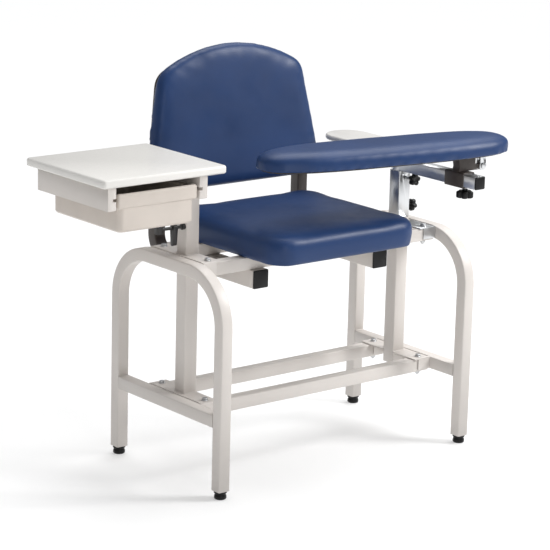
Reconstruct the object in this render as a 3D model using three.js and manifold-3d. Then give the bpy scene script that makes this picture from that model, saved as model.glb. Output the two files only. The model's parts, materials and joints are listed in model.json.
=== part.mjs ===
// Blood-draw chair: a tall welded tube frame with an upholstered seat and back, a flip-up padded
// arm on a telescoping post and a drawer cabinet on the other side.
// Units are millimetres, +Z is up, the seat faces -Y, and the origin is on the floor below the
// middle of the whole object's bounding box.
import * as THREE from "three";
import * as BufferGeometryUtils from "three/addons/utils/BufferGeometryUtils.js";
import Module from "manifold-3d";

const wasm = await Module();
wasm.setup();

// ---------------------------------------------------------------- driving dimensions
const GAP = 0.3;                    // clearance between pieces that touch
const WALL = 2;                     // wall of every plain tube
const TUBE = 31.75;                 // 1 1/4 in square tube: hoops, rails, stretchers, arm bar
const POST = 38.1;                  // 1 1/2 in square tube: posts and sleeve
const SEAT_RAIL = 44.45;            // 1 3/4 in square tube under the seat

const FRAME_W = 792;                // over the two side frames
const FRAME_D = 444;                // over the legs, front to back
const FOOT_H = 20;                  // glide height below the legs
const RAIL_TOP = 203;               // top of the lower rails
const HOOP_TOP = 544;               // top of the hoops
const HOOP_R = 135;                 // outer bend radius of the hoops

const PLATE = 3;                    // bracket steel
const POST_INSET = 12.7;            // between a side frame's inner face and its post
const STRETCHER_Y = 86;             // stretchers and cross rails, front (-) and rear (+)
const BOLT_INSET = 25;              // bolt centre inboard of the side frame's inner face

const SEAT_X = -26;                 // seat and back sit a little towards the drawer side
const SEAT_W = 446;
const SEAT_Y0 = -238;               // front of the seat
const SEAT_D = 436;
const SEAT_H = 70;                  // seat bottom to crown
const SEAT_CORNER = 58;
const SEAT_RAIL_MID = -14;          // middle between the seat rails
const SEAT_RAIL_X = 187;            // seat rails, each side of that middle
const SEAT_RAIL_Y0 = -112;
const SEAT_RAIL_L = 350;

const BACK_LOW = 646;               // bottom edge of the back
const BACK_Y = 187;                 // front face of the back at its bottom edge
const BACK_LOW_HALF_W = 270;
const BACK_SHOULDER_HALF_W = 221;
const BACK_SHOULDER = 285;          // height of the shoulders above the bottom edge
const BACK_H = 348;                 // height of the arch's crown above the bottom edge
const BACK_CORNER = 30;
const BACK_PAD = 38;
const BACK_BOARD = 10;
const BACK_TILT = THREE.MathUtils.degToRad(8);

const TOP_X0 = -661;                // cabinet top plate
const TOP_W = 346;
const TOP_Y0 = -125;
const TOP_D = 321;
const TOP_Z = 775;
const TOP_T = 19;
const APRON_W = 23;
const APRON_Z0 = 702;
const APRON_L = 285;
const APRON_LEFT_X0 = -645;
const DRAWER_SPACE = 233;           // between the two aprons
const RAIL_SLOT_Z = 726;            // middle of the groove that carries the drawer
const RAIL_SLOT_H = 7;
const RAIL_SLOT_DEPTH = 9;
const TRAY_Y0 = -113;
const TRAY_D = 268;
const TRAY_Z0 = 648;
const TRAY_TOP = 738;
const TRAY_WALL = 3;
const LIP_Z0 = 703;                 // underside of the drawer's thick front lip
const LIP_W = 221;

const SOCKET_TOP = 674;             // top of the plated arm socket
const BAR_L = 304;                  // arm bar, from the back of the socket to its front end
const BAR_INNER = 208;              // part of the arm bar's leg inside the socket
const SLEEVE_Y1 = -184;             // back end of the sliding sleeve
const SLEEVE_L = 66;
const PIVOT_X = 400;                // flip hinge axis, along Y
const PIVOT_Z = 716;
const PAD_X = 131;                  // arm pad centre
const PAD_Y = -168;
const PAD_L = 700;
const PAD_W = 176;
const PAD_H = 46;
const PAD_YAW = THREE.MathUtils.degToRad(-8);
const PAD_LOW = 748;                // underside of the pad's board
const PAD_BOARD = 10;
const ARMREST_X = 283;              // laminated armrest board above the arm bar
const ARMREST_Y0 = -88;
const ARMREST_Y1 = 206;
const ARMREST_HALF_W = 57;
const ARMREST_Z0 = 733;
const ARMREST_T = 13;

// ---------------------------------------------------------------- derived positions
const sideOut = FRAME_W / 2;
const sideIn = sideOut - TUBE;
const railLow = RAIL_TOP - TUBE;
const postX = sideIn - POST_INSET - POST / 2;
const stretcherTop = RAIL_TOP - PLATE - GAP;
const crossTop = HOOP_TOP - PLATE - GAP;
const stretcherEnd = sideIn - PLATE - 2 * GAP;
const boltX = sideIn - BOLT_INSET;
const seatRailTop = crossTop - TUBE - GAP;
const seatBottom = crossTop + GAP;
const seatBoard = 12;
const topUnder = TOP_Z - TOP_T;
const barLow = SOCKET_TOP + GAP;
const barMid = barLow + TUBE / 2;
const barFront = TUBE / 2 - BAR_L;
const sleeveY = SLEEVE_Y1 - SLEEVE_L / 2;
const sleeveTop = barMid + POST / 2;
const bore = TUBE + 0.8;            // running fit of the plated tube and the sleeve over the bar

// ---------------------------------------------------------------- finishes
const finish = (color, roughness, metalness = 0) =>
  new THREE.MeshStandardMaterial({ color, roughness, metalness });
const enamel = () => finish(0xd9d5d0, 0.42);
const laminate = () => finish(0xdfdcd9, 0.4);
const vinyl = () => finish(0x39507f, 0.38);
const brown = () => finish(0x3d3735, 0.5);
const black = () => finish(0x1a1b1c, 0.5);
const zinc = () => finish(0xb5b8b9, 0.35, 0.9);
const chrome = () => finish(0xd3dcdf, 0.14, 1);
const plywood = () => finish(0x2a2622, 0.8);
const moulded = () => finish(0xd1cbc5, 0.45);

// ---------------------------------------------------------------- shape helpers
const chair = new THREE.Group();

function add(name, geometry, material) {
  const mesh = new THREE.Mesh(geometry, material);
  mesh.name = name;
  chair.add(mesh);
  return mesh;
}

function toSolid(geometry) {
  const bare = geometry.clone();
  bare.deleteAttribute("normal");
  bare.deleteAttribute("uv");
  const merged = BufferGeometryUtils.mergeVertices(bare, 1e-4);
  return new wasm.Manifold(new wasm.Mesh({
    numProp: 3,
    vertProperties: new Float32Array(merged.attributes.position.array),
    triVerts: new Uint32Array(merged.index.array),
  }));
}

function toGeometry(solid) {
  const mesh = solid.getMesh();
  const geometry = new THREE.BufferGeometry();
  geometry.setAttribute("position", new THREE.BufferAttribute(mesh.vertProperties, 3));
  geometry.setIndex(new THREE.BufferAttribute(mesh.triVerts, 1));
  return geometry;
}

function cut(geometry, ...tools) {
  return toGeometry(tools.reduce((solid, tool) => solid.subtract(toSolid(tool)), toSolid(geometry)));
}

function join(geometry, ...others) {
  return toGeometry(others.reduce((solid, other) => solid.add(toSolid(other)), toSolid(geometry)));
}

// Box given by its lowest and highest corners.
function block(x0, y0, z0, x1, y1, z1) {
  const geometry = new THREE.BoxGeometry(x1 - x0, y1 - y0, z1 - z0);
  return geometry.translate((x0 + x1) / 2, (y0 + y1) / 2, (z0 + z1) / 2);
}

// Cylinder along "x", "y" or "z", centred on x, y, z.
function rod(axis, radius, length, x, y, z, sides = 16) {
  const geometry = new THREE.CylinderGeometry(radius, radius, length, sides);
  if (axis === "x") geometry.rotateZ(Math.PI / 2);
  if (axis === "z") geometry.rotateX(Math.PI / 2);
  return geometry.translate(x, y, z);
}

// Adds a rounded rectangle centred on the origin to a Shape or Path.
function roundedRect(path, w, h, r) {
  const x = w / 2;
  const y = h / 2;
  path.moveTo(x, y - r);
  path.absarc(x - r, y - r, r, 0, Math.PI / 2);
  path.absarc(r - x, y - r, r, Math.PI / 2, Math.PI);
  path.absarc(r - x, r - y, r, Math.PI, 1.5 * Math.PI);
  path.absarc(x - r, r - y, r, 1.5 * Math.PI, 2 * Math.PI);
  path.closePath();
  return path;
}

// Prism of a shape drawn in XY, standing on z0, with its top and bottom edges softened.
function slab(shape, z0, height, soft = 0, curveSegments = 4, softSegments = 2) {
  return new THREE.ExtrudeGeometry(shape, {
    depth: height - 2 * soft,
    bevelEnabled: soft > 0,
    bevelThickness: soft,
    bevelSize: soft,
    bevelOffset: -soft,
    bevelSegments: softSegments,
    curveSegments,
  }).translate(0, 0, z0 + soft);
}

// Square tube of a given length with rounded corners, centred on the origin along z.
function tubeAlongZ(size, inner, length) {
  const section = roundedRect(new THREE.Shape(), size, size, 3);
  section.holes.push(roundedRect(new THREE.Path(), inner, inner, 1.5));
  return slab(section, -length / 2, length, 0, 1);
}

function tube(axis, size, inner, length, x, y, z) {
  const geometry = tubeAlongZ(size, inner, length);
  if (axis === "x") geometry.rotateY(Math.PI / 2);
  if (axis === "y") geometry.rotateX(Math.PI / 2);
  return geometry.translate(x, y, z);
}

// Turns a prism drawn in XY so that its outline stands in the YZ plane, centred on x.
function standInYZ(geometry, x) {
  const basis = new THREE.Matrix4().makeBasis(
    new THREE.Vector3(0, 1, 0), new THREE.Vector3(0, 0, 1), new THREE.Vector3(1, 0, 0));
  return geometry.applyMatrix4(basis).translate(x, 0, 0);
}

// ---------------------------------------------------------------- side frames
// Outline of a hoop in the YZ plane, taken in from the outer face by inset. The legs run on past
// their open ends by the same amount times OVERRUN, so that the hollow breaks through.
const OVERRUN = 4;

function hoopOutline(inset) {
  const low = FOOT_H - OVERRUN * inset;
  const half = FRAME_D / 2 - inset;
  const top = HOOP_TOP - inset;
  const outerR = HOOP_R - inset;
  const legIn = FRAME_D / 2 - TUBE + inset;
  const topIn = HOOP_TOP - TUBE + inset;
  const innerR = HOOP_R - TUBE + inset;
  const outline = new THREE.Shape();
  outline.moveTo((half + legIn) / 2, low);
  outline.lineTo(half, low);
  outline.absarc(half - outerR, top - outerR, outerR, 0, Math.PI / 2);
  outline.absarc(outerR - half, top - outerR, outerR, Math.PI / 2, Math.PI);
  outline.lineTo(-half, low);
  outline.lineTo(-legIn, low);
  outline.absarc(innerR - legIn, topIn - innerR, innerR, Math.PI, Math.PI / 2, true);
  outline.absarc(legIn - innerR, topIn - innerR, innerR, Math.PI / 2, 0, true);
  outline.lineTo(legIn, low);
  outline.closePath();
  return outline;
}

// Bent square tube: the prism of an outline, hollowed by the same outline taken in by the wall.
function bentTube(outline, segments) {
  const skin = slab(outline(0), -TUBE / 2, TUBE, 2.2, segments, 1);
  const hollow = slab(outline(WALL), WALL - TUBE / 2, TUBE - 2 * WALL, 0, segments);
  return cut(skin, hollow);
}

// Plate bracket inboard of a side frame: a top flange around the post, a web against the tube and
// cheeks each side of both cross members.
function sideBracket(side, top, low) {
  const inner = postX - POST / 2;
  const outer = sideIn - GAP;
  const reach = STRETCHER_Y + TUBE / 2 + GAP + PLATE;
  const plates = [
    block(outer - PLATE, -reach, low, outer, reach, top - PLATE / 2),
  ];
  for (const end of [-1, 1]) {
    for (const face of [-1, 1]) {
      const y = end * STRETCHER_Y + face * (TUBE / 2 + GAP + PLATE / 2);
      plates.push(block(outer - POST, y - PLATE / 2, low, outer - PLATE / 2, y + PLATE / 2, top - PLATE / 2));
    }
  }
  const flange = block(inner, -reach, top - PLATE, outer, reach, top);
  const notchHalf = POST / 2 + GAP;
  const solid = cut(
    join(flange, ...plates),
    block(inner - 1, -notchHalf, low - 1, postX + notchHalf, notchHalf, top + 1),
    rod("z", 4.4, 2 * TUBE, boltX, -STRETCHER_Y, top, 12),
    rod("z", 4.4, 2 * TUBE, boltX, STRETCHER_Y, top, 12),
  );
  return side > 0 ? solid : mirrored(solid);
}

// The same geometry on the other side of x = 0, its faces still pointing outwards.
function mirrored(geometry) {
  geometry.scale(-1, 1, 1);
  const index = geometry.index.array;
  for (let i = 0; i < index.length; i += 3) {
    const first = index[i];
    index[i] = index[i + 1];
    index[i + 1] = first;
  }
  return geometry;
}

// Glide: a moulded foot with a stem pushed up into the open leg.
function foot(x, y) {
  const stemR = TUBE / 2 - WALL - GAP;
  const profile = [
    [0, 0], [12.5, 0], [15, 3], [14.6, 9], [13, 12], [13, 15], [15.6, 15.6],
    [15.6, FOOT_H - GAP], [stemR, FOOT_H - GAP], [stemR, FOOT_H + 16], [0, FOOT_H + 18],
  ];
  const geometry = new THREE.LatheGeometry(profile.map(([r, z]) => new THREE.Vector2(r, z)), 12);
  return geometry.rotateX(Math.PI / 2).translate(x, y, 0);
}

// Flanged bolt through a bracket and a cross member, with its nut below.
function bolt(x, y, top, grip) {
  return join(
    rod("z", 8.4, 1.8, x, y, top + GAP + 0.9, 12),
    rod("z", 7.2, 5.4, x, y, top + GAP + 3.5, 6),
    rod("z", 4, grip + 14, x, y, top - grip / 2 - 4, 8),
    rod("z", 7.4, 6.5, x, y, top - grip - GAP - 3.25, 6),
  );
}

const sides = [["left", -1], ["right", 1]];
const ends = [["front", -1], ["rear", 1]];

for (const [sideName, side] of sides) {
  const railLength = FRAME_D - 2 * TUBE - 2 * GAP;
  const railX = side * (sideOut - TUBE / 2);
  add(`${sideName}_hoop`, standInYZ(bentTube(hoopOutline, 7), railX), enamel());
  add(`${sideName}_lower_rail`,
    tube("y", TUBE, TUBE - 2 * WALL, railLength, railX, 0, RAIL_TOP - TUBE / 2), enamel());
  add(`${sideName}_lower_bracket`, sideBracket(side, RAIL_TOP, railLow + 2), enamel());
  const upperFinish = side > 0 ? zinc() : enamel();
  add(`${sideName}_upper_bracket`, sideBracket(side, HOOP_TOP, HOOP_TOP - TUBE + 2), upperFinish);
  for (const [endName, end] of ends) {
    add(`${endName}_${sideName}_foot`, foot(railX, end * (FRAME_D - TUBE) / 2), black());
    const x = side * boltX;
    const y = end * STRETCHER_Y;
    add(`${endName}_${sideName}_lower_bolt`, bolt(x, y, RAIL_TOP, PLATE + TUBE + GAP), zinc());
    add(`${endName}_${sideName}_upper_bolt`, bolt(x, y, HOOP_TOP, PLATE + TUBE + GAP), zinc());
  }
}

// ---------------------------------------------------------------- cross members
// Square tube from side to side, drilled for its two bolts.
function crossMember(y, top) {
  const z = top - TUBE / 2;
  return cut(
    tube("x", TUBE, TUBE - 2 * WALL, 2 * stretcherEnd, 0, y, z),
    rod("z", 4.4, 2 * TUBE, -boltX, y, z, 12),
    rod("z", 4.4, 2 * TUBE, boltX, y, z, 12),
  );
}

for (const [endName, end] of ends) {
  add(`${endName}_stretcher`, crossMember(end * STRETCHER_Y, stretcherTop), enamel());
  add(`${endName}_seat_cross_rail`, crossMember(end * STRETCHER_Y, crossTop), enamel());
}

// ---------------------------------------------------------------- posts
// The left post runs from the lower bracket up to a welded plate under the cabinet top.
function leftPost() {
  const top = topUnder - GAP - 4;
  const length = top - railLow;
  const shaft = tube("z", POST, POST - 2 * WALL, length, -postX, 0, railLow + length / 2);
  const plate = block(-postX - 26, -42, top - 1, -postX + POST / 2 - 4, 42, top + 4);
  return join(shaft, plate);
}

add("left_post", leftPost(), enamel());

const socketLow = HOOP_TOP + 10;
const rightPostLength = socketLow - GAP - railLow;
add("right_post",
  tube("z", POST, bore, rightPostLength, postX, 0, railLow + rightPostLength / 2), enamel());

const upperKnobZ = 657;
const lowerKnobZ = 580;
add("arm_socket", cut(
  tube("z", POST, bore, SOCKET_TOP - socketLow, postX, 0, (SOCKET_TOP + socketLow) / 2),
  rod("y", 4.4, 12, postX, -POST / 2, upperKnobZ, 12),
  rod("x", 4.4, 12, postX + POST / 2, 0, lowerKnobZ, 12),
), zinc());

// ---------------------------------------------------------------- seat
function seatOutline(inset) {
  const w = SEAT_W - 2 * inset;
  const d = SEAT_D - 2 * inset;
  return roundedRect(new THREE.Shape(), w, d, SEAT_CORNER - inset);
}

const seatMidY = SEAT_Y0 + SEAT_D / 2;
const boardInset = 14;
add("seat_board",
  slab(seatOutline(boardInset), seatBottom, seatBoard, 0, 4).translate(SEAT_X, seatMidY, 0), plywood());
add("seat_cushion", cut(
  slab(seatOutline(0), seatBottom, SEAT_H, 16, 4, 2),
  slab(seatOutline(boardInset - GAP), seatBottom - 5, seatBoard + 5 + GAP, 0, 4),
).translate(SEAT_X, seatMidY, 0), vinyl());

// Seat rails run front to back below the cross rails, with a plug in each front end.
const seatRailMid = seatRailTop - SEAT_RAIL / 2;
const seatRailMidY = SEAT_RAIL_Y0 + SEAT_RAIL_L / 2;

// Square end cap with a spigot pushed into a tube, facing the front and meeting the tube at y = 0.
function endPlug(size) {
  const spigot = size - 2 * WALL - 2 * GAP;
  return join(
    slab(roundedRect(new THREE.Shape(), size, size, 3), GAP, 4, 1.2, 1, 1),
    slab(roundedRect(new THREE.Shape(), spigot, spigot, 1.5), -15, 16, 0, 1),
  ).rotateX(Math.PI / 2);
}

const uprightX = SEAT_RAIL_X + (SEAT_RAIL + TUBE) / 2 + GAP;
const uprightY = BACK_Y + BACK_PAD + BACK_BOARD + TUBE / 2 + 3;
const uprightTop = 745;
const uprightFootY = 60;
const uprightBend = 62;

// Outline in the YZ plane of an L-shaped upright: a foot along the seat rail, a bend, and a leg
// that rises behind the seat and then leans with the back.
function uprightOutline(inset) {
  const half = TUBE / 2 - inset;
  const outerR = uprightBend - inset;
  const innerR = uprightBend - TUBE + inset;
  const footEnd = uprightFootY - OVERRUN * inset;
  const top = uprightTop + OVERRUN * inset;
  const lean = Math.tan(BACK_TILT) * (top - BACK_LOW);
  const outline = new THREE.Shape();
  outline.moveTo(footEnd, seatRailMid);
  outline.lineTo(footEnd, seatRailMid - half);
  outline.absarc(uprightY + half - outerR, seatRailMid - half + outerR, outerR, -Math.PI / 2, 0);
  outline.lineTo(uprightY + half, BACK_LOW);
  outline.lineTo(uprightY + half + lean, top);
  outline.lineTo(uprightY - half + lean, top);
  outline.lineTo(uprightY - half, BACK_LOW);
  outline.absarc(uprightY - half - innerR, seatRailMid + half + innerR, innerR, 0, -Math.PI / 2, true);
  outline.lineTo(footEnd, seatRailMid + half);
  outline.closePath();
  return outline;
}

for (const [sideName, side] of sides) {
  const x = SEAT_RAIL_MID + side * SEAT_RAIL_X;
  add(`${sideName}_seat_rail`,
    tube("y", SEAT_RAIL, SEAT_RAIL - 2 * WALL, SEAT_RAIL_L, x, seatRailMidY, seatRailMid), enamel());
  add(`${sideName}_seat_rail_plug`,
    endPlug(SEAT_RAIL).translate(x, SEAT_RAIL_Y0, seatRailMid), black());
  add(`${sideName}_back_upright`,
    standInYZ(bentTube(uprightOutline, 4), SEAT_RAIL_MID + side * uprightX), brown());
}

// ---------------------------------------------------------------- back
// The back seen from the front, from its bottom edge up: sides that close in towards rounded
// shoulders, and one circular arch between them.
function backOutline(inset) {
  const low = BACK_LOW_HALF_W - inset;
  const high = BACK_SHOULDER_HALF_W - inset;
  const rise = BACK_H - BACK_SHOULDER;
  const fullR = (BACK_SHOULDER_HALF_W ** 2 + rise ** 2) / (2 * rise);
  const centre = BACK_H - fullR;
  const r = fullR - inset;
  const shoulder = centre + Math.sqrt(r * r - high * high);
  const corner = BACK_CORNER - inset / 2;
  const share = corner / (shoulder - inset);
  const side = (t) => [high + (low - high) * t, shoulder + (inset - shoulder) * t];
  const [upX, upY] = side(share);
  const [downX, downY] = side(1 - share);
  const start = Math.acos(high / r) + corner / r;
  const outline = new THREE.Shape();
  outline.moveTo(...side(0.5));
  outline.lineTo(upX, upY);
  outline.quadraticCurveTo(high, shoulder, r * Math.cos(start), centre + r * Math.sin(start));
  outline.absarc(0, centre, r, start, Math.PI - start);
  outline.quadraticCurveTo(-high, shoulder, -upX, upY);
  outline.lineTo(-downX, downY);
  outline.quadraticCurveTo(-low, inset, corner - low, inset);
  outline.lineTo(low - corner, inset);
  outline.quadraticCurveTo(low, inset, downX, downY);
  outline.closePath();
  return outline;
}

// Stands a slab drawn in XY upright and leans it back about its bottom edge; the slab's z = 0
// face turns towards the sitter.
function leanBack(geometry) {
  const basis = new THREE.Matrix4().makeBasis(
    new THREE.Vector3(-1, 0, 0), new THREE.Vector3(0, 0, 1), new THREE.Vector3(0, 1, 0));
  return geometry.applyMatrix4(basis).rotateX(-BACK_TILT).translate(SEAT_X, BACK_Y, BACK_LOW);
}

add("back_cushion", leanBack(slab(backOutline(0), 0, BACK_PAD - GAP, 13, 5, 2)), vinyl());
add("back_board", leanBack(slab(backOutline(10), BACK_PAD, BACK_BOARD, 0, 5)), black());

// ---------------------------------------------------------------- drawer cabinet
add("cabinet_top", slab(
  roundedRect(new THREE.Shape(), TOP_W, TOP_D, 9), topUnder, TOP_T, 4, 2, 2,
).translate(TOP_X0 + TOP_W / 2, TOP_Y0 + TOP_D / 2, 0), laminate());

const apronY0 = TOP_Y0 + 8;
const apronY1 = apronY0 + APRON_L;
const apronTop = topUnder - GAP;
const drawerX0 = APRON_LEFT_X0 + APRON_W;
const drawerX1 = drawerX0 + DRAWER_SPACE;
const backApron = 8;

// Apron with a groove along its inner face, open at the front, for the drawer's flange.
function apron(x0, groove) {
  return cut(
    block(x0, apronY0, APRON_Z0, x0 + APRON_W, apronY1, apronTop),
    block(
      groove - RAIL_SLOT_DEPTH, apronY0 - 1, RAIL_SLOT_Z - RAIL_SLOT_H / 2,
      groove + RAIL_SLOT_DEPTH, apronY1 - backApron, RAIL_SLOT_Z + RAIL_SLOT_H / 2),
  );
}

add("left_apron", apron(APRON_LEFT_X0, drawerX0), enamel());
add("right_apron", apron(drawerX1, drawerX1), enamel());
add("rear_apron", block(
  drawerX0 + GAP, apronY1 - backApron, APRON_Z0, drawerX1 - GAP, apronY1, apronTop), enamel());

// Moulded drawer: an open bin with flanges that ride in the grooves and a thick front lip.
function drawerTray() {
  const x = (drawerX0 + drawerX1) / 2;
  const y = TRAY_Y0 + TRAY_D / 2;
  const binW = LIP_W - 8;
  const bin = slab(roundedRect(new THREE.Shape(), binW, TRAY_D, 16), TRAY_Z0, 80, 5, 3, 1);
  const hollow = slab(
    roundedRect(new THREE.Shape(), binW - 2 * TRAY_WALL, TRAY_D - 2 * TRAY_WALL, 13),
    TRAY_Z0 + TRAY_WALL, TRAY_TOP - TRAY_Z0, 3, 3, 1);
  const flangeHalf = DRAWER_SPACE / 2 + RAIL_SLOT_DEPTH - 1.5;
  const flangeT = RAIL_SLOT_H / 2 - 1;
  const flange = block(
    x - flangeHalf, TRAY_Y0 + 20, RAIL_SLOT_Z - flangeT,
    x + flangeHalf, TRAY_Y0 + TRAY_D - 4, RAIL_SLOT_Z + flangeT);
  const lip = slab(roundedRect(new THREE.Shape(), LIP_W, 14, 5), LIP_Z0, TRAY_TOP - LIP_Z0, 4, 2, 1);
  return cut(
    join(bin.translate(x, y, 0), flange, lip.translate(x, TRAY_Y0 + 3, 0)),
    hollow.translate(x, y, 0),
  );
}

add("drawer_tray", drawerTray(), moulded());

// Black hardware beside the left post: a rod with a square end, and a lever that hangs on it.
const postLeft = -postX - POST / 2;
const leverRodY = -10;
const leverRodZ = 613;
const leverRodR = 4;
const leverX = postLeft - 30;
add("lever_rod", join(
  rod("x", leverRodR, 74, postLeft - GAP - 37, leverRodY, leverRodZ, 12),
  rod("x", 7.5, 8, postLeft - GAP - 4, leverRodY, leverRodZ, 16),
  block(postLeft - 81, leverRodY - 7, leverRodZ - 10, postLeft - 67, leverRodY + 7, leverRodZ + 6),
), black());

// Tapered lever in side view, its eye at the origin.
function leverOutline() {
  const outline = new THREE.Shape();
  outline.moveTo(8, 0);
  outline.absarc(0, 0, 8, 0, Math.PI);
  outline.lineTo(-5, -38);
  outline.absarc(0, -38, 5, Math.PI, 2 * Math.PI);
  outline.closePath();
  outline.holes.push(new THREE.Path().absarc(0, 0, leverRodR + 0.4, 0, 2 * Math.PI, true));
  return outline;
}

add("clamp_lever", standInYZ(
  slab(leverOutline(), -6, 12, 0, 6), leverX).translate(0, leverRodY, leverRodZ), black());

// ---------------------------------------------------------------- telescoping arm
// L-shaped plated bar: a leg that slides in the post and a bar that reaches forward.
function armBar() {
  const inner = TUBE - 2 * WALL;
  const legLength = BAR_INNER + TUBE;
  const leg = tube("z", TUBE, inner, legLength, postX, 0, barLow - BAR_INNER + legLength / 2);
  const reach = tube("y", TUBE, inner, BAR_L, postX, barFront + BAR_L / 2, barMid);
  return cut(
    join(leg, reach),
    block(postX - inner / 2, -inner / 2, barLow - TUBE, postX + inner / 2, inner / 2, barMid),
    block(postX - inner / 2, -TUBE, barMid - inner / 2, postX + inner / 2, 0, barMid + inner / 2),
  );
}

add("arm_bar", armBar(), chrome());
add("arm_bar_plug", endPlug(TUBE).translate(postX, barFront, barMid), black());

// Laminated armrest board with a rounded rear end, on a stand-off above the bar.
function armrestOutline() {
  const corner = 14;
  const half = ARMREST_HALF_W;
  const outline = new THREE.Shape();
  outline.moveTo(half, 0);
  outline.absarc(0, ARMREST_Y1 - half, half, 0, Math.PI);
  outline.absarc(corner - half, ARMREST_Y0 + corner, corner, Math.PI, 1.5 * Math.PI);
  outline.absarc(half - corner, ARMREST_Y0 + corner, corner, 1.5 * Math.PI, 2 * Math.PI);
  outline.closePath();
  return outline;
}

add("armrest_board",
  slab(armrestOutline(), ARMREST_Z0, ARMREST_T, 3, 7, 1).translate(ARMREST_X, 0, 0), laminate());
add("armrest_standoff", block(
  postX - TUBE / 2, -52, barMid + TUBE / 2 + GAP, postX + 6, 14, ARMREST_Z0 - GAP), brown());

// Brown sleeve that slides along the bar, drilled below for its clamp screw.
const sleeveKnobY = SLEEVE_Y1 - SLEEVE_L + 13;
add("arm_sleeve", cut(
  tube("y", POST, bore, SLEEVE_L, postX, sleeveY, barMid),
  rod("z", 4.6, 12, postX, sleeveKnobY, barMid - POST / 2, 12),
), brown());

// Waisted hinge bracket on the sleeve, with an ear out to the flip hinge.
const hingeY = sleeveY - 4;
const pinR = 4;

function hingeBracket() {
  const low = sleeveTop + GAP;
  const high = PAD_LOW - 4.5;
  const left = postX - POST / 2;
  const right = PIVOT_X - 30;
  const outline = new THREE.Shape();
  outline.moveTo(postX, low);
  outline.lineTo(PIVOT_X - 16, low);
  outline.quadraticCurveTo(right, low + 2, right, low + 15);
  outline.lineTo(right, high);
  outline.lineTo(left, high);
  outline.lineTo(left + 4, low + 14);
  outline.quadraticCurveTo(left + 4, low + 3, left, low);
  outline.closePath();
  const casting = slab(outline, -13, 26, 1.2, 4, 1).rotateX(Math.PI / 2).translate(0, hingeY, 0);
  const ear = block(right - 4, hingeY - 4, PIVOT_Z - 5, PIVOT_X - 6, hingeY + 4, PIVOT_Z + 5);
  const eye = rod("y", 11, 8, PIVOT_X, hingeY, PIVOT_Z, 20);
  return cut(join(casting, ear, eye), rod("y", pinR + 0.4, 12, PIVOT_X, hingeY, PIVOT_Z, 16));
}

add("hinge_bracket", hingeBracket(), brown());
const bumperT = 3.9;
add("pad_rest_bumper", rod(
  "z", 7, bumperT, postX - 10, hingeY, PAD_LOW - 4.5 + GAP + bumperT / 2, 16), moulded());

// Plated hinge leaf below the pad, its two eyes either side of the bracket's ear.
function hingeLeaf() {
  const low = PAD_LOW - GAP - 3;
  const parts = [];
  for (const end of [-1, 1]) {
    const y = hingeY + end * 6;
    parts.push(rod("y", 11, 3, PIVOT_X, y, PIVOT_Z, 20));
    parts.push(block(PIVOT_X - 9, y - 1.5, PIVOT_Z, PIVOT_X + 9, y + 1.5, low + 1));
  }
  return cut(
    join(block(PIVOT_X - 26, hingeY - 16, low, PIVOT_X + 28, hingeY + 16, PAD_LOW - GAP), ...parts),
    rod("y", pinR + 0.4, 24, PIVOT_X, hingeY, PIVOT_Z, 16),
  );
}

add("pad_hinge_leaf", hingeLeaf(), zinc());
add("hinge_pin", join(
  rod("y", pinR, 22, PIVOT_X, hingeY, PIVOT_Z, 16),
  rod("y", 7, 2.5, PIVOT_X, hingeY - 9.6, PIVOT_Z, 12),
  rod("y", 7, 2.5, PIVOT_X, hingeY + 9.6, PIVOT_Z, 12),
), zinc());

// Long superellipse outline of the arm pad in plan.
function padOutline(inset) {
  const steps = 32;
  const outline = new THREE.Shape();
  for (let i = 0; i < steps; i += 1) {
    const angle = 2 * Math.PI * i / steps;
    const c = Math.cos(angle);
    const s = Math.sin(angle);
    const x = (PAD_L / 2 - inset) * Math.sign(c) * Math.abs(c) ** (2 / 3.2);
    const y = (PAD_W / 2 - inset) * Math.sign(s) * Math.abs(s) ** (2 / 2.6);
    if (i === 0) outline.moveTo(x, y);
    else outline.lineTo(x, y);
  }
  outline.closePath();
  return outline;
}

const placePad = (geometry) => geometry.rotateZ(PAD_YAW).translate(PAD_X, PAD_Y, 0);
add("arm_pad_board", placePad(slab(padOutline(8), PAD_LOW, PAD_BOARD)), plywood());
add("arm_pad", placePad(cut(
  slab(padOutline(0), PAD_LOW, PAD_H, 14, 1, 2),
  slab(padOutline(8 - GAP), PAD_LOW - 5, PAD_BOARD + 5 + GAP),
)), vinyl());

// ---------------------------------------------------------------- star knobs
// Five-lobed knob standing on z = 0, with a collar and a plated stud that point down from it.
function starKnob(radius, height, studLength) {
  const steps = 30;
  const outline = new THREE.Shape();
  for (let i = 0; i < steps; i += 1) {
    const angle = 2 * Math.PI * i / steps;
    const r = radius * (0.84 + 0.16 * Math.cos(5 * angle));
    if (i === 0) outline.moveTo(r, 0);
    else outline.lineTo(r * Math.cos(angle), r * Math.sin(angle));
  }
  outline.closePath();
  return join(
    slab(outline, 0, height, 3, 1, 1),
    rod("z", 7, 5, 0, 0, -2, 12),
    rod("z", 4, studLength + 1, 0, 0, (1 - studLength) / 2, 12),
  );
}

// A stud stops just short of the arm bar.
const studReach = (POST - TUBE) / 2 - 0.8;
const frontKnobOut = 26;
const sideKnobOut = 16;
const sleeveKnobOut = 9;
add("front_arm_knob", starKnob(17, 15, frontKnobOut + studReach)
  .rotateX(Math.PI / 2).translate(postX, -POST / 2 - frontKnobOut, upperKnobZ), black());
add("side_arm_knob", starKnob(17, 15, sideKnobOut + studReach)
  .rotateY(Math.PI / 2).translate(postX + POST / 2 + sideKnobOut, 0, lowerKnobZ), black());
add("sleeve_knob", starKnob(23, 18, sleeveKnobOut + studReach)
  .rotateX(Math.PI).translate(postX, sleeveKnobY, barMid - POST / 2 - sleeveKnobOut), black());

// ---------------------------------------------------------------- origin
const bounds = new THREE.Box3().setFromObject(chair);
chair.position.set(-(bounds.min.x + bounds.max.x) / 2, -(bounds.min.y + bounds.max.y) / 2, -bounds.min.z);
chair.updateMatrixWorld(true);

export default chair;
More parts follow.
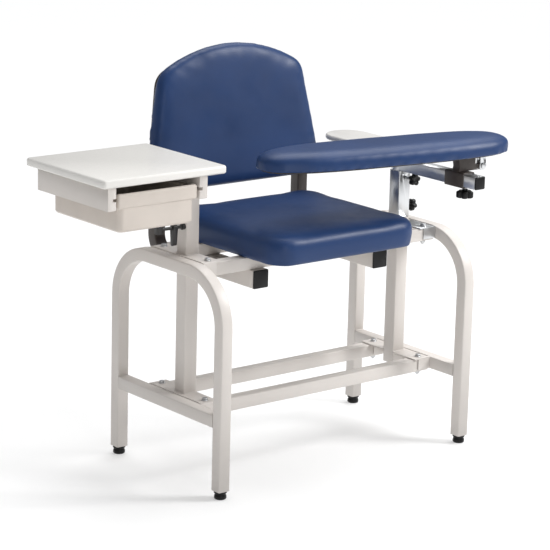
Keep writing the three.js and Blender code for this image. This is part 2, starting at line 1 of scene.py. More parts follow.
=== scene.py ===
"""Tall blood-draw chair: the looks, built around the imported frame.

Blender 4.5, metres, +Z up. The chair faces -Y, its drawer table is on the -X side and its
flip-up arm on the +X side. Every place comes from the frame's nodes.
"""
import json
import math

import bmesh
import bpy
import numpy as np
from mathutils import Matrix, Vector


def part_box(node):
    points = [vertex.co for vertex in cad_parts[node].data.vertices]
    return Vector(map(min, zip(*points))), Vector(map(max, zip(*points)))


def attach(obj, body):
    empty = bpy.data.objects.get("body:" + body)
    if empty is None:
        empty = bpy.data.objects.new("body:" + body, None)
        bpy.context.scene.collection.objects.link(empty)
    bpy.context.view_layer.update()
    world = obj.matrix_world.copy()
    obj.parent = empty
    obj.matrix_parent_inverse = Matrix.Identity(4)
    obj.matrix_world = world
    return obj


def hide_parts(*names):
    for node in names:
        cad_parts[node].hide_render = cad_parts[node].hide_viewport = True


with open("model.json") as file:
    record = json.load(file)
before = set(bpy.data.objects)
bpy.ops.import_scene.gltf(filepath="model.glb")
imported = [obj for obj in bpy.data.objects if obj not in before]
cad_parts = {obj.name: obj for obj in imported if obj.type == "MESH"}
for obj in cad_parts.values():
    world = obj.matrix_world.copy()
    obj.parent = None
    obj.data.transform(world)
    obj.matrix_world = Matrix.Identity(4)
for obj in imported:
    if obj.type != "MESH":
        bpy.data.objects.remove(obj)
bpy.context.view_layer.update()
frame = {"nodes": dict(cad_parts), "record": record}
nodes = frame["nodes"]
slot_of = {part["node"]: part["material_slot"] for part in frame["record"]["subparts"]}

# ---------------------------------------------------------------- driving dimensions
GAP = 0.0003                # clearance between pieces that touch
HOOP_BEND = 0.135           # outer bend radius of the side frames
UPRIGHT_BEND = 0.062        # outer bend radius of the back uprights
TUBE_CORNER = 0.0035        # outer corner radius of square tube
TUBE_WALL = 0.002
POST = 0.0381               # square tube of the two posts
BACK_LEAN = math.radians(8)
BACK_LOW = 0.646            # where the uprights start to lean
EDGE = 0.0011               # softened edge of cut and cast pieces
OTHER_EDGES = {"cabinet_top": 0.0022, "drawer_tray": 0.0018, "armrest_board": 0.002, "arm_bar": 0.0009}
SHARP = math.radians(35)    # edges sharper than this are softened
BOLT_HEAD = 0.0062          # height of a bolt's head and flange
NUT_BELOW = 0.0037          # end of a bolt below its nut
THREAD = 0.00125            # pitch of the knobs' studs
BEAD_PITCH = 0.0028         # ripples of a weld bead
FOAM_INSET = 0.003          # cushion's start inside its CAD solid
FOAM_MESH = 0.006
CLOTH_PRESSURE = 4.0
CLOTH_FRAMES = 20

left_low, left_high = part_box("left_hoop")
right_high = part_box("right_hoop")[1]
middle = Vector(((left_low.x + right_high.x) / 2, (left_low.y + left_high.y) / 2, 0))
tube = left_high.x - left_low.x

X = Vector((1, 0, 0))
Y = Vector((0, 1, 0))
Z = Vector((0, 0, 1))


# ---------------------------------------------------------------- camera, light and floor
CAMERA_FROM_MIDDLE = Vector((-3.638, -4.412, 1.8765))
CAMERA_TURN = math.radians(-39.0)
CAMERA_TILT = math.radians(14.07)
CAMERA_ROLL = math.radians(1.48)
CAMERA_LENS = 156.8
AIM_HEIGHT = 0.55           # height that the softboxes point at
FLOOR_REACH = 60
FLOOR_GLOW = 0.37           # keeps the far floor as pale as the lit floor
OVERHEAD_POWER = 2.0
OVERHEAD_WAY = Vector((-0.38, -0.2, -0.9))


def add_camera():
    back = Vector((
        math.sin(CAMERA_TURN) * math.cos(CAMERA_TILT),
        -math.cos(CAMERA_TURN) * math.cos(CAMERA_TILT),
        math.sin(CAMERA_TILT),
    ))
    right = Vector((math.cos(CAMERA_TURN), math.sin(CAMERA_TURN), 0))
    up = back.cross(right)
    rolled_right = right * math.cos(CAMERA_ROLL) + up * math.sin(CAMERA_ROLL)
    rolled_up = up * math.cos(CAMERA_ROLL) - right * math.sin(CAMERA_ROLL)
    data = bpy.data.cameras.new("camera")
    data.lens = CAMERA_LENS
    data.clip_end = 200
    camera = bpy.data.objects.new("camera", data)
    camera.matrix_world = Matrix((rolled_right, rolled_up, back)).transposed().to_4x4()
    camera.matrix_world.translation = middle + CAMERA_FROM_MIDDLE
    bpy.context.scene.collection.objects.link(camera)
    bpy.context.scene.camera = camera


def add_softbox(name, place, width, height, power):
    """Area light aimed at the middle of the chair."""
    data = bpy.data.lights.new(name, "AREA")
    data.shape = "RECTANGLE"
    data.size = width
    data.size_y = height
    data.energy = power
    light = bpy.data.objects.new(name, data)
    light.location = middle + Vector(place)
    aim = middle + Vector((0, 0, AIM_HEIGHT)) - light.location
    light.rotation_mode = "QUATERNION"
    light.rotation_quaternion = aim.to_track_quat("-Z", "Y")
    bpy.context.scene.collection.objects.link(light)


def add_world():
    """Dim studio, a little brighter overhead."""
    world = bpy.data.worlds.new("studio")
    bpy.context.scene.world = world
    world.use_nodes = True
    tree = world.node_tree
    coords = tree.nodes.new("ShaderNodeTexCoord")
    split = tree.nodes.new("ShaderNodeSeparateXYZ")
    ramp = tree.nodes.new("ShaderNodeValToRGB")
    ramp.color_ramp.elements[0].position = 0.0
    ramp.color_ramp.elements[0].color = (0.1, 0.1, 0.103, 1)
    ramp.color_ramp.elements[1].position = 0.8
    ramp.color_ramp.elements[1].color = (0.55, 0.555, 0.56, 1)
    tree.links.new(coords.outputs["Generated"], split.inputs[0])
    tree.links.new(split.outputs["Z"], ramp.inputs[0])
    tree.links.new(ramp.outputs[0], tree.nodes["Background"].inputs["Color"])


def add_overhead():
    """Broad light from above, even over the whole floor."""
    data = bpy.data.lights.new("overhead", "SUN")
    data.energy = OVERHEAD_POWER
    data.angle = math.radians(50)
    light = bpy.data.objects.new("overhead", data)
    light.rotation_mode = "QUATERNION"
    light.rotation_quaternion = OVERHEAD_WAY.to_track_quat("-Z", "Y")
    bpy.context.scene.collection.objects.link(light)


def add_floor():
    bm = bmesh.new()
    bmesh.ops.create_grid(bm, x_segments=1, y_segments=1, size=FLOOR_REACH)
    mesh = bpy.data.meshes.new("floor")
    bm.to_mesh(mesh)
    bm.free()
    floor = bpy.data.objects.new("floor", mesh)
    bpy.context.scene.collection.objects.link(floor)
    surface = bpy.data.materials.new("floor")
    surface.use_nodes = True
    shader = surface.node_tree.nodes["Principled BSDF"]
    shader.inputs["Base Color"].default_value = (0.6, 0.6, 0.6, 1)
    shader.inputs["Roughness"].default_value = 0.7
    shader.inputs["Specular IOR Level"].default_value = 0.2
    shader.inputs["Emission Color"].default_value = (1, 1, 1, 1)
    shader.inputs["Emission Strength"].default_value = FLOOR_GLOW
    mesh.materials.append(surface)


add_camera()
add_world()
add_floor()
add_overhead()
add_softbox("key", (2.2, -1.85, 2.5), 0.8, 1.6, 92)
add_softbox("strip", (-1.25, -3.2, 1.0), 0.28, 1.5, 11)
bpy.context.scene.view_settings.view_transform = "Standard"


# ---------------------------------------------------------------- materials
def start_material(name, color, roughness, metallic=0.0):
    """Principled material, its node tree and its object coordinates, which are metres."""
    surface = bpy.data.materials.new(name)
    surface.use_nodes = True
    tree = surface.node_tree
    shader = tree.nodes["Principled BSDF"]
    shader.inputs["Base Color"].default_value = (*color, 1)
    shader.inputs["Roughness"].default_value = roughness
    shader.inputs["Metallic"].default_value = metallic
    coords = tree.nodes.new("ShaderNodeTexCoord").outputs["Object"]
    return surface, tree, shader, coords


def stretched(tree, coords, scale):
    mapping = tree.nodes.new("ShaderNodeMapping")
    mapping.inputs["Scale"].default_value = scale
    tree.links.new(coords, mapping.inputs["Vector"])
    return mapping.outputs["Vector"]


def noise(tree, coords, scale, detail):
    node = tree.nodes.new("ShaderNodeTexNoise")
    node.inputs["Scale"].default_value = scale
    node.inputs["Detail"].default_value = detail
    tree.links.new(coords, node.inputs["Vector"])
    return node.outputs["Fac"]


def cells(tree, coords, scale):
    node = tree.nodes.new("ShaderNodeTexVoronoi")
    node.feature = "DISTANCE_TO_EDGE"
    node.inputs["Scale"].default_value = scale
    tree.links.new(coords, node.inputs["Vector"])
    return node.outputs["Distance"]


def remap(tree, value, from_low, from_high, low, high):
    node = tree.nodes.new("ShaderNodeMapRange")
    node.inputs["From Min"].default_value = from_low
    node.inputs["From Max"].default_value = from_high
    node.inputs["To Min"].default_value = low
    node.inputs["To Max"].default_value = high
    tree.links.new(value, node.inputs["Value"])
    return node.outputs["Result"]


def blended(tree, factor, first, second):
    """Colour between two, each a colour or another node's output."""
    node = tree.nodes.new("ShaderNodeMix")
    node.data_type = "RGBA"
    tree.links.new(factor, node.inputs["Factor"])
    for socket, value in (("A", first), ("B", second)):
        target = next(s for s in node.inputs if s.name == socket and s.type == "RGBA")
        if isinstance(value, bpy.types.NodeSocket):
            tree.links.new(value, target)
        else:
            target.default_value = (*value, 1)
    return next(s for s in node.outputs if s.type == "RGBA")


def shade(color, share):
    return tuple(channel * share for channel in color)


def vary_color(tree, shader, value, dark, light):
    factor = remap(tree, value, 0.3, 0.7, 0, 1)
    tree.links.new(blended(tree, factor, dark, light), shader.inputs["Base Color"])


def vary_roughness(tree, shader, value, low, high):
    tree.links.new(remap(tree, value, 0.25, 0.75, low, high), shader.inputs["Roughness"])


def add_bump(tree, shader, height, strength, distance):
    """Bump on top of any bump that the shader already has."""
    node = tree.nodes.new("ShaderNodeBump")
    node.inputs["Strength"].default_value = strength
    node.inputs["Distance"].default_value = distance
    tree.links.new(height, node.inputs["Height"])
    if shader.inputs["Normal"].is_linked:
        tree.links.new(shader.inputs["Normal"].links[0].from_socket, node.inputs["Normal"])
    tree.links.new(node.outputs["Normal"], shader.inputs["Normal"])


def powder_coat(name, color, roughness):
    """Baked powder coat: slightly uneven, with a fine orange peel."""
    surface, tree, shader, coords = start_material(name, color, roughness)
    vary_color(tree, shader, noise(tree, coords, 6, 4), shade(color, 0.965), shade(color, 1.025))
    vary_roughness(tree, shader, noise(tree, coords, 45, 4), roughness - 0.05, roughness + 0.08)
    add_bump(tree, shader, noise(tree, coords, 620, 1), 0.22, 0.0003)
    add_bump(tree, shader, noise(tree, coords, 30, 2), 0.05, 0.002)
    return surface


def soft_vinyl(name, color):
    """Upholstery vinyl: a fine pressed pebble and broad uneven gloss."""
    surface, tree, shader, coords = start_material(name, color, 0.4)
    vary_color(tree, shader, noise(tree, coords, 9, 5), shade(color, 0.9), shade(color, 1.1))
    vary_roughness(tree, shader, noise(tree, coords, 22, 4), 0.36, 0.46)
    shader.inputs["Specular IOR Level"].default_value = 0.32
    add_bump(tree, shader, cells(tree, coords, 520), 0.2, 0.0004)
    add_bump(tree, shader, noise(tree, coords, 1500, 2), 0.12, 0.0002)
    add_bump(tree, shader, noise(tree, coords, 16, 3), 0.03, 0.004)
    return surface


def pale_laminate(name, color):
    """Pressed laminate with a faint speckle, and a painted highlight that whitens its edges and sides.
    """
    surface, tree, shader, coords = start_material(name, color, 0.34)
    grains = remap(tree, noise(tree, coords, 420, 3), 0.35, 0.65, 0, 1)
    speckle = blended(tree, grains, shade(color, 0.955), shade(color, 1.02))
    normal = tree.nodes.new("ShaderNodeNewGeometry").outputs["Normal"]
    split = tree.nodes.new("ShaderNodeSeparateXYZ")
    tree.links.new(normal, split.inputs[0])
    size = tree.nodes.new("ShaderNodeMath")
    size.operation = "ABSOLUTE"
    tree.links.new(split.outputs["Z"], size.inputs[0])
    # Painted highlight: the further a face tilts from flat, the whiter it is painted, up to a tenth
    # whiter.
    painted_edge_highlight = remap(tree, size.outputs[0], 0.5, 0.8, 1, 0)
    tree.links.new(blended(tree, painted_edge_highlight, speckle, shade(color, 1.1)), shader.inputs["Base Color"])
    vary_roughness(tree, shader, noise(tree, coords, 80, 3), 0.3, 0.42)
    add_bump(tree, shader, noise(tree, coords, 900, 2), 0.1, 0.0002)
    return surface


def moulded_plastic(name, color, roughness, grain, specular):
    """Injection moulding with an etched grain."""
    surface, tree, shader, coords = start_material(name, color, roughness)
    vary_color(tree, shader, noise(tree, coords, 12, 3), shade(color, 0.95), shade(color, 1.04))
    vary_roughness(tree, shader, noise(tree, coords, 70, 3), roughness - 0.05, roughness + 0.08)
    add_bump(tree, shader, noise(tree, coords, grain, 3), 0.25, 0.0003)
    shader.inputs["Specular IOR Level"].default_value = specular
    return surface


def plated_metal(name, color, roughness, streak):
    """Plated steel with drawing marks along Y and Z and small changes of gloss."""
    surface, tree, shader, coords = start_material(name, color, roughness, 1.0)
    streaks = noise(tree, stretched(tree, coords, (streak, streak / 120, streak / 120)), 1, 5)
    vary_color(tree, shader, noise(tree, coords, 20, 2), shade(color, 0.96), shade(color, 1.02))
    vary_roughness(tree, shader, streaks, roughness * 0.9, roughness * 1.15)
    add_bump(tree, shader, streaks, 0.03, 0.0002)
    return surface


def stained_board(name, color):
    """Dark stained board with a long grain."""
    surface, tree, shader, coords = start_material(name, color, 0.7)
    grain = noise(tree, stretched(tree, coords, (14, 260, 260)), 1, 5)
    vary_color(tree, shader, grain, shade(color, 0.6), shade(color, 1.35))
    vary_roughness(tree, shader, grain, 0.6, 0.85)
    add_bump(tree, shader, grain, 0.3, 0.0006)
    return surface


finishes = {
    "enamel": powder_coat("enamel", (0.64, 0.60, 0.565), 0.4),
    "dark_enamel": powder_coat("dark_enamel", (0.052, 0.041, 0.036), 0.42),
    "black_metal": powder_coat("black_metal", (0.018, 0.017, 0.017), 0.38),
    "chrome": plated_metal("chrome", (0.82, 0.83, 0.835), 0.3, 1100),
    "zinc": plated_metal("zinc", (0.62, 0.63, 0.64), 0.3, 1300),
    "vinyl": soft_vinyl("vinyl", (0.011, 0.037, 0.122)),
    "laminate": pale_laminate("laminate", (0.69, 0.675, 0.645)),
    "board": stained_board("board", (0.035, 0.028, 0.024)),
    "moulded": moulded_plastic("moulded", (0.60, 0.54, 0.485), 0.4, 900, 0.5),
    "black_plastic": moulded_plastic("black_plastic", (0.006, 0.006, 0.0065), 0.32, 1400, 0.25),
}


# ---------------------------------------------------------------- CAD nodes that stay
def soften(node, width):
    """Rounds a CAD node's sharp edges and shades it smooth, with its mesh left as it is."""
    merge = node.modifiers.new("merge", "WELD")
    merge.merge_threshold = 0.00002
    bevel = node.modifiers.new("edges", "BEVEL")
    bevel.width = width
    bevel.segments = 2
    bevel.limit_method = "ANGLE"
    bevel.angle_limit = SHARP
    bevel.harden_normals = True
    node.data.polygons.foreach_set("use_smooth", [True] * len(node.data.polygons))


def dress_frame_nodes():
    for name, node in nodes.items():
        surface = finishes[slot_of[name]]
        if not node.material_slots:
            node.data.materials.append(surface)
        for held in node.material_slots:
            held.material = surface
        soften(node, OTHER_EDGES.get(name, EDGE))


dress_frame_nodes()


# ---------------------------------------------------------------- mesh helpers
def link_mesh(name, mesh):
    made = bpy.data.objects.new(name, mesh)
    bpy.context.scene.collection.objects.link(made)
    return made


def make_piece(name, bm, slot, body, replaced=()):
    """Turns a bmesh into a smooth-shaded piece that rides on a body."""
    bmesh.ops.remove_doubles(bm, verts=bm.verts, dist=1e-6)
    bmesh.ops.recalc_face_normals(bm, faces=bm.faces)
    mesh = bpy.data.meshes.new(name)
    bm.to_mesh(mesh)
    bm.free()
    mesh.polygons.foreach_set("use_smooth", [True] * len(mesh.polygons))
    mesh.materials.append(finishes[slot])
    made = link_mesh(name, mesh)
    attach(made, body)
    if replaced:
        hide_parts(*replaced)


def foot_of(node):
    """Point on the floor below the middle of a node."""
    low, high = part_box(node)
    return Vector(((low.x + high.x) / 2, (low.y + high.y) / 2, 0))


def join_rings(bm, rings):
    """Quads between each ring of vertices and the next."""
    for first, second in zip(rings, rings[1:]):
        count = len(first)
        for i in range(count):
            j = (i + 1) % count
            bm.faces.new((first[i], first[j], second[j], second[i]))


def turned(bm, rings, origin, axis, segments=36):
    """Closed form about an axis. Each ring is (height, radius), and a radius may be a function of
    the angle."""
    along = axis.normalized()
    across = along.orthogonal().normalized()
    other = along.cross(across)
    made = []
    for height, radius in rings:
        ring = []
        for i in range(segments):
            angle = 2 * math.pi * i / segments
            r = radius(angle) if callable(radius) else radius
            offset = across * math.cos(angle) * r + other * math.sin(angle) * r
            ring.append(bm.verts.new(origin + along * height + offset))
        made.append(ring)
    join_rings(bm, made)
    bm.faces.new(made[0][::-1])
    bm.faces.new(made[-1])


def rounded_square(size, corner, steps=4):
    half = size / 2 - corner
    points = []
    for quarter, (sx, sy) in enumerate(((1, 1), (-1, 1), (-1, -1), (1, -1))):
        for i in range(steps + 1):
            angle = (quarter + i / steps) * math.pi / 2
            x = sx * half + corner * math.cos(angle)
            y = sy * half + corner * math.sin(angle)
            points.append((x, y))
    return points


def swept_square_tube(bm, path, size):
    """Hollow square tube along a path in a plane across X, open at both ends."""
    skins = []
    for inset in (0, TUBE_WALL):
        section = rounded_square(size - 2 * inset, TUBE_CORNER - inset)
        rings = []
        for i, point in enumerate(path):
            tangent = (path[min(i + 1, len(path) - 1)] - path[max(i - 1, 0)]).normalized()
            up = X.cross(tangent)
            rings.append([bm.verts.new(point + X * a + up * b) for a, b in section])
        join_rings(bm, rings)
        skins.append(rings)
    outer, inner = skins
    join_rings(bm, [outer[0], inner[0]])
    join_rings(bm, [outer[-1], inner[-1]])


def arc(centre, radius, start, end, steps=18):
    """Points of an arc in the YZ plane, its angles from +Y towards +Z."""
    angles = [start + (end - start) * i / steps for i in range(steps + 1)]
    return [centre + Vector((0, math.cos(a), math.sin(a))) * radius for a in angles]


# ---------------------------------------------------------------- bent tubes
def build_hoop(side):
    low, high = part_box(f"{side}_hoop")
    x = (low.x + high.x) / 2
    bend = HOOP_BEND - tube / 2
    front, rear = low.y + tube / 2, high.y - tube / 2
    top = high.z - tube / 2
    path = [Vector((x, front, low.z))]
    path += arc(Vector((x, front + bend, top - bend)), bend, math.pi, math.pi / 2)
    path += arc(Vector((x, rear - bend, top - bend)), bend, math.pi / 2, 0)
    path += [Vector((x, rear, low.z))]
    bm = bmesh.new()
    swept_square_tube(bm, path, tube)
    make_piece(f"{side}_side_hoop", bm, "enamel", "chair", [f"{side}_hoop"])


def build_upright(side):
    low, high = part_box(f"{side}_back_upright")
    x = (low.x + high.x) / 2
    bend = UPRIGHT_BEND - tube / 2
    lean = math.tan(BACK_LEAN) * (high.z - BACK_LOW)
    leg = high.y - lean - tube / 2
    foot = low.z + tube / 2
    path = [Vector((x, low.y, foot))]
    path += arc(Vector((x, leg - bend, foot + bend)), bend, -math.pi / 2, 0, 12)
    path += [Vector((x, leg, BACK_LOW)), Vector((x, leg + lean, high.z))]
    bm = bmesh.new()
    swept_square_tube(bm, path, tube)
    make_piece(f"{side}_bent_upright", bm, "dark_enamel", "chair", [f"{side}_back_upright"])


for side in ("left", "right"):
    build_hoop(side)
    build_upright(side)


# ---------------------------------------------------------------- glides, bolts and knobs
def build_glide(node):
    profile = [
        (0, 0.0118), (0.0006, 0.0132), (0.003, 0.0149), (0.0085, 0.0147),
        (0.0112, 0.0134), (0.0122, 0.0129), (0.0148, 0.0129), (0.0156, 0.0155),
        (0.0192, 0.0156), (0.0197, 0.0135), (0.036, 0.0135), (0.038, 0.012),
    ]
    bm = bmesh.new()
    turned(bm, profile, foot_of(node), Z, 40)
    make_piece(f"{node}_glide", bm, "black_plastic", "chair", [node])


def hexagon(across):
    """Radius of a hexagon at an angle, from its width across the flats."""
    sector = math.pi / 3
    return lambda angle: across / 2 / math.cos((angle % sector) - sector / 2)


def build_bolt(node):
    low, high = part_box(node)
    centre = foot_of(node)
    seat = high.z - BOLT_HEAD
    flange = [(0, 0.0083), (0.0011, 0.0083), (0.0019, 0.0076), (0.002, 0.004)]
    head = [(0.0018, hexagon(0.0124)), (0.0054, hexagon(0.0124)), (BOLT_HEAD, 0.0058), (0.0059, 0.0045)]
    shank = [(0, 0.0033), (0.0008, 0.0039), (seat - low.z, 0.0039)]
    nut = [(0, 0.0062), (0.0006, hexagon(0.0126)), (0.0059, hexagon(0.0126)), (0.0065, 0.0062)]
    bm = bmesh.new()
    turned(bm, flange, centre + Z * seat, Z)
    turned(bm, head, centre + Z * seat, Z)
    turned(bm, shank, centre + Z * low.z, Z, 24)
    turned(bm, nut, centre + Z * (low.z + NUT_BELOW), Z)
    make_piece(f"{node}_set", bm, "zinc", "chair", [node])


def star(radius):
    """Radius of a five-lobed knob at an angle."""
    return lambda angle: radius * (0.6 + 0.4 * abs(math.cos(2.5 * angle)) ** 0.8)


def build_knob(node, axis, body):
    """Five-lobed knob with a domed face, a hub and a plated stud. Its axis points out of its face."""
    low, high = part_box(node)
    size = high - low
    along = Vector([abs(c) for c in axis])
    length = size.dot(along)
    radius = max(size.x * (1 - along.x), size.y * (1 - along.y), size.z * (1 - along.z)) / 2
    outer = (high if max(axis) > 0 else low).dot(along)
    centre = (low + high) / 2
    face = centre + along * (outer - centre.dot(along))
    height = 0.018 if radius > 0.02 else 0.015
    base = face - axis * height
    bm = bmesh.new()
    lobes = [
        (0.0004, star(radius * 0.86)), (0.002, star(radius * 0.97)), (0.0045, star(radius)),
        (height - 0.0045, star(radius)), (height - 0.0018, star(radius * 0.95)),
        (height - 0.0004, star(radius * 0.8)), (height, radius * 0.42),
        (height - 0.0012, radius * 0.36), (height - 0.0014, radius * 0.1),
    ]
    turned(bm, lobes, base, axis, 80)
    hub = [(-0.0045, 0.0062), (-0.004, 0.0069), (0.0006, 0.0072)]
    turned(bm, hub, base, axis, 32)
    make_piece(f"{node}_head", bm, "black_plastic", body, [node])
    reach = length - height
    rings = [(-reach, 0.0028)]
    turns = int((reach - 0.006) / THREAD * 2)
    for i in range(turns):
        rings.append((-reach + 0.0006 + i * THREAD / 2, 0.0039 if i % 2 else 0.0034))
    rings.append((-0.003, 0.0037))
    bm = bmesh.new()
    turned(bm, rings, base, axis, 20)
    make_piece(f"{node}_stud", bm, "zinc", body)


for end in ("front", "rear"):
    for side in ("left", "right"):
        build_glide(f"{end}_{side}_foot")
        for level in ("lower", "upper"):
            build_bolt(f"{end}_{side}_{level}_bolt")

build_knob("front_arm_knob", -Y, "front_knob")
build_knob("side_arm_knob", X, "side_knob")
build_knob("sleeve_knob", -Z, "carriage_knob")


# ---------------------------------------------------------------- welds and small fixings
def weld_bead(bm, path, radius=0.0022):
    """Rippled bead along straight runs between the points of a path."""
    points = []
    for start, end in zip(path, path[1:]):
        count = max(2, round((end - start).length / (BEAD_PITCH / 4)))
        points += [start.lerp(end, i / count) for i in range(count)]
    points.append(path[-1])
    rings = []
    for i, point in enumerate(points):
        tangent = (points[min(i + 1, len(points) - 1)] - points[max(i - 1, 0)]).normalized()
        across = tangent.orthogonal().normalized()
        other = tangent.cross(across)
        r = radius * (0.86 + 0.14 * math.sin(math.pi * i / 2))
        ring = []
        for k in range(8):
            angle = math.pi * k / 4
            offset = (across * math.cos(angle) + other * math.sin(angle)) * r
            ring.append(bm.verts.new(point + offset))
        rings.append(ring)
    join_rings(bm, rings)
    bm.faces.new(rings[0][::-1])
    bm.faces.new(rings[-1])


def build_welds():
    bm = bmesh.new()
    for side in ("left", "right"):
        low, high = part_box(f"{side}_lower_rail")
        for y in (low.y, high.y):
            for z in (low.z, high.z):
                weld_bead(bm, [Vector((low.x + 0.004, y, z)), Vector((high.x - 0.004, y, z))])
        low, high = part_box(f"{side}_post")
        outward = -1 if side == "left" else 1
        inner_x = high.x if side == "left" else low.x
        outer_x = inner_x + outward * POST
        front = middle.y - POST / 2
        rear = middle.y + POST / 2
        for level in ("lower", "upper"):
            low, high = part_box(f"{side}_{level}_bracket")
            z = high.z + 0.0002
            seam = high.x if side == "right" else low.x
            weld_bead(bm, [Vector((seam, low.y + 0.008, z)), Vector((seam, high.y - 0.008, z))])
            weld_bead(bm, [
                Vector((inner_x, front, z)), Vector((outer_x, front, z)),
                Vector((outer_x, rear, z)), Vector((inner_x, rear, z)),
            ], 0.0019)
    make_piece("weld_beads", bm, "enamel", "chair")


def build_fixings():
    """Carriage bolts on the uprights' feet, and screws under the table and the pad's leaf."""
    dome = [(0, 0.009), (0.0012, 0.0088), (0.0026, 0.0072), (0.0036, 0.0042), (0.0039, 0.0012)]
    bm = bmesh.new()
    for side, axis in (("left", -X), ("right", X)):
        low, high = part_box(f"{side}_back_upright")
        face = low.x if side == "left" else high.x
        for step in (0.03, 0.1):
            turned(bm, dome, Vector((face, low.y + step, low.z + tube / 2)), axis)
    make_piece("upright_bolts", bm, "zinc", "chair")
    pan = [(0, 0.0042), (0.001, 0.0041), (0.0019, 0.003), (0.0021, 0.0012)]
    bm = bmesh.new()
    low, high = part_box("left_post")
    for y in (low.y + 0.01, high.y - 0.01):
        for x in (low.x + 0.008, high.x - 0.006):
            turned(bm, pan, Vector((x, y, high.z - 0.005)), -Z, 20)
    make_piece("table_screws", bm, "zinc", "chair")
    bm = bmesh.new()
    low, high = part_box("pad_hinge_leaf")
    for x in (low.x + 0.007, high.x - 0.007):
        for y in (low.y + 0.006, high.y - 0.006):
            turned(bm, pan, Vector((x, y, high.z - 0.003)), -Z, 20)
    make_piece("leaf_screws", bm, "zinc", "flip_pad")


build_welds()
build_fixings()


# ---------------------------------------------------------------- upholstery
def bake_modifiers(obj):
    graph = bpy.context.evaluated_depsgraph_get()
    mesh = bpy.data.meshes.new_from_object(obj.evaluated_get(graph))
    obj.modifiers.clear()
    obj.data = mesh


def read_points(obj):
    points = np.empty(len(obj.data.vertices) * 3)
    obj.data.vertices.foreach_get("co", points)
    return points.reshape(-1, 3)


def write_points(obj, points):
    obj.data.vertices.foreach_set("co", points.ravel())
    obj.data.update()


def hull_of(node, name, grow):
    """Closed convex form round a CAD node, grown or shrunk about its middle."""
    bm = bmesh.new()
    bm.from_mesh(nodes[node].data)
    found = bmesh.ops.convex_hull(bm, input=bm.verts)
    spare = set(found["geom_interior"]) | set(found["geom_unused"])
    spare_points = [item for item in spare if isinstance(item, bmesh.types.BMVert)]
    bmesh.ops.delete(bm, geom=spare_points, context="VERTS")
    bmesh.ops.remove_doubles(bm, verts=bm.verts, dist=1e-5)
    low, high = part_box(node)
    centre = (low + high) / 2
    for v in bm.verts:
        for axis in range(3):
            half = (high[axis] - low[axis]) / 2
            v.co[axis] = centre[axis] + (v.co[axis] - centre[axis]) * (half + grow) / half
    mesh = bpy.data.meshes.new(name)
    bm.to_mesh(mesh)
    bm.free()
    return link_mesh(name, mesh)


def inflate(obj, pinned, limit):
    """Blows a closed mesh up as cloth, its pinned points held, and caps how far a point may go."""
    start = read_points(obj)
    group = obj.vertex_groups.new(name="held")
    group.add([int(i) for i in np.flatnonzero(pinned)], 1.0, "REPLACE")
    cloth = obj.modifiers.new("cloth", "CLOTH")
    settings = cloth.settings
    settings.quality = 5
    settings.vertex_group_mass = "held"
    settings.use_pressure = True
    settings.uniform_pressure_force = CLOTH_PRESSURE
    settings.effector_weights.gravity = 0
    cloth.point_cache.frame_start = 1
    cloth.point_cache.frame_end = CLOTH_FRAMES
    scene = bpy.context.scene
    for number in range(1, CLOTH_FRAMES + 1):
        scene.frame_set(number)
    bake_modifiers(obj)
    scene.frame_set(1)
    moved = read_points(obj) - start
    length = np.linalg.norm(moved, axis=1, keepdims=True)
    share = np.minimum(1, limit / np.maximum(length, 1e-9))
    write_points(obj, start + moved * share)


def edge_ends(obj):
    ends = np.empty(len(obj.data.edges) * 2, int)
    obj.data.edges.foreach_get("vertices", ends)
    return ends.reshape(-1, 2).T


def underside(obj, rest, rings):
    """Points on the flat side towards the board, less some rings of points at its rim."""
    distance = read_points(obj) @ np.array(rest)
    held = distance < distance.min() + 0.004
    a, b = edge_ends(obj)
    for _ in range(rings):
        rim = np.zeros_like(held)
        rim[a[~held[b]]] = True
        rim[b[~held[a]]] = True
        held = held & ~rim
    return held


def even_out(obj, held, rounds):
    """Moves each point halfway to its neighbours' mean, round by round, but for the held points."""
    a, b = edge_ends(obj)
    points = read_points(obj)
    count = np.bincount(a, minlength=len(points)) + np.bincount(b, minlength=len(points))
    free = ~held
    for _ in range(rounds):
        total = np.zeros_like(points)
        np.add.at(total, a, points[b])
        np.add.at(total, b, points[a])
        mean = total / count[:, None]
        points[free] += (mean[free] - points[free]) * 0.5
    write_points(obj, points)


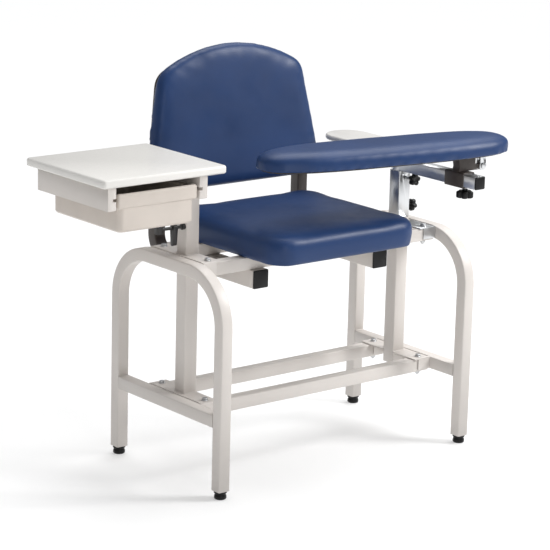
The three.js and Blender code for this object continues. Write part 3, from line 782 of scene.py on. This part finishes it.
def fit_between(obj, low, high):
    """Scales a mesh so that its box runs from low to high."""
    points = read_points(obj)
    from_low, from_high = points.min(0), points.max(0)
    low, high = np.array(low), np.array(high)
    write_points(obj, low + (points - from_low) / (from_high - from_low) * (high - low))


def carve(obj, cutter):
    """Cuts a closed form out of a piece, then removes the cutter."""
    cut = obj.modifiers.new("recess", "BOOLEAN")
    cut.operation = "DIFFERENCE"
    cut.solver = "EXACT"
    cut.object = cutter
    bpy.context.view_layer.update()
    bake_modifiers(obj)
    bpy.data.objects.remove(cutter)


def upholster(name, node, body, rest, rounding, limit, crown, board=None):
    """Vinyl over foam in place of a CAD cushion. rest is the way from its board to its face, and
    rounding gives the relaxing rounds before and after the cloth and the rings freed at the rim."""
    before, after, rings = rounding
    low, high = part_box(node)
    pad = hull_of(node, name, -FOAM_INSET)
    remesh = pad.modifiers.new("remesh", "REMESH")
    remesh.mode = "VOXEL"
    remesh.voxel_size = FOAM_MESH
    bake_modifiers(pad)
    held = underside(pad, rest, rings)
    even_out(pad, held, before)
    inflate(pad, held, limit)
    even_out(pad, held, after)
    fit_between(pad, low, high + Vector(rest) * crown)
    finer = pad.modifiers.new("finer", "SUBSURF")
    finer.levels = 1
    finer.render_levels = 1
    bake_modifiers(pad)
    if board:
        carve(pad, hull_of(board, f"{name}_recess", GAP))
    pad.data.polygons.foreach_set("use_smooth", [True] * len(pad.data.polygons))
    pad.data.materials.clear()
    pad.data.materials.append(finishes["vinyl"])
    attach(pad, body)
    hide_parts(node)


back_way = Vector((0, -math.cos(BACK_LEAN), math.sin(BACK_LEAN)))
upholster(
    "seat_upholstery", "seat_cushion", "chair", Z,
    rounding=(16, 14, 1), limit=0.005, crown=0.003, board="seat_board")
upholster(
    "back_upholstery", "back_cushion", "chair", back_way,
    rounding=(5, 5, 1), limit=0.004, crown=0)
upholster(
    "arm_upholstery", "arm_pad", "flip_pad", Z,
    rounding=(30, 22, 1), limit=0.003, crown=0.002, board="arm_pad_board")
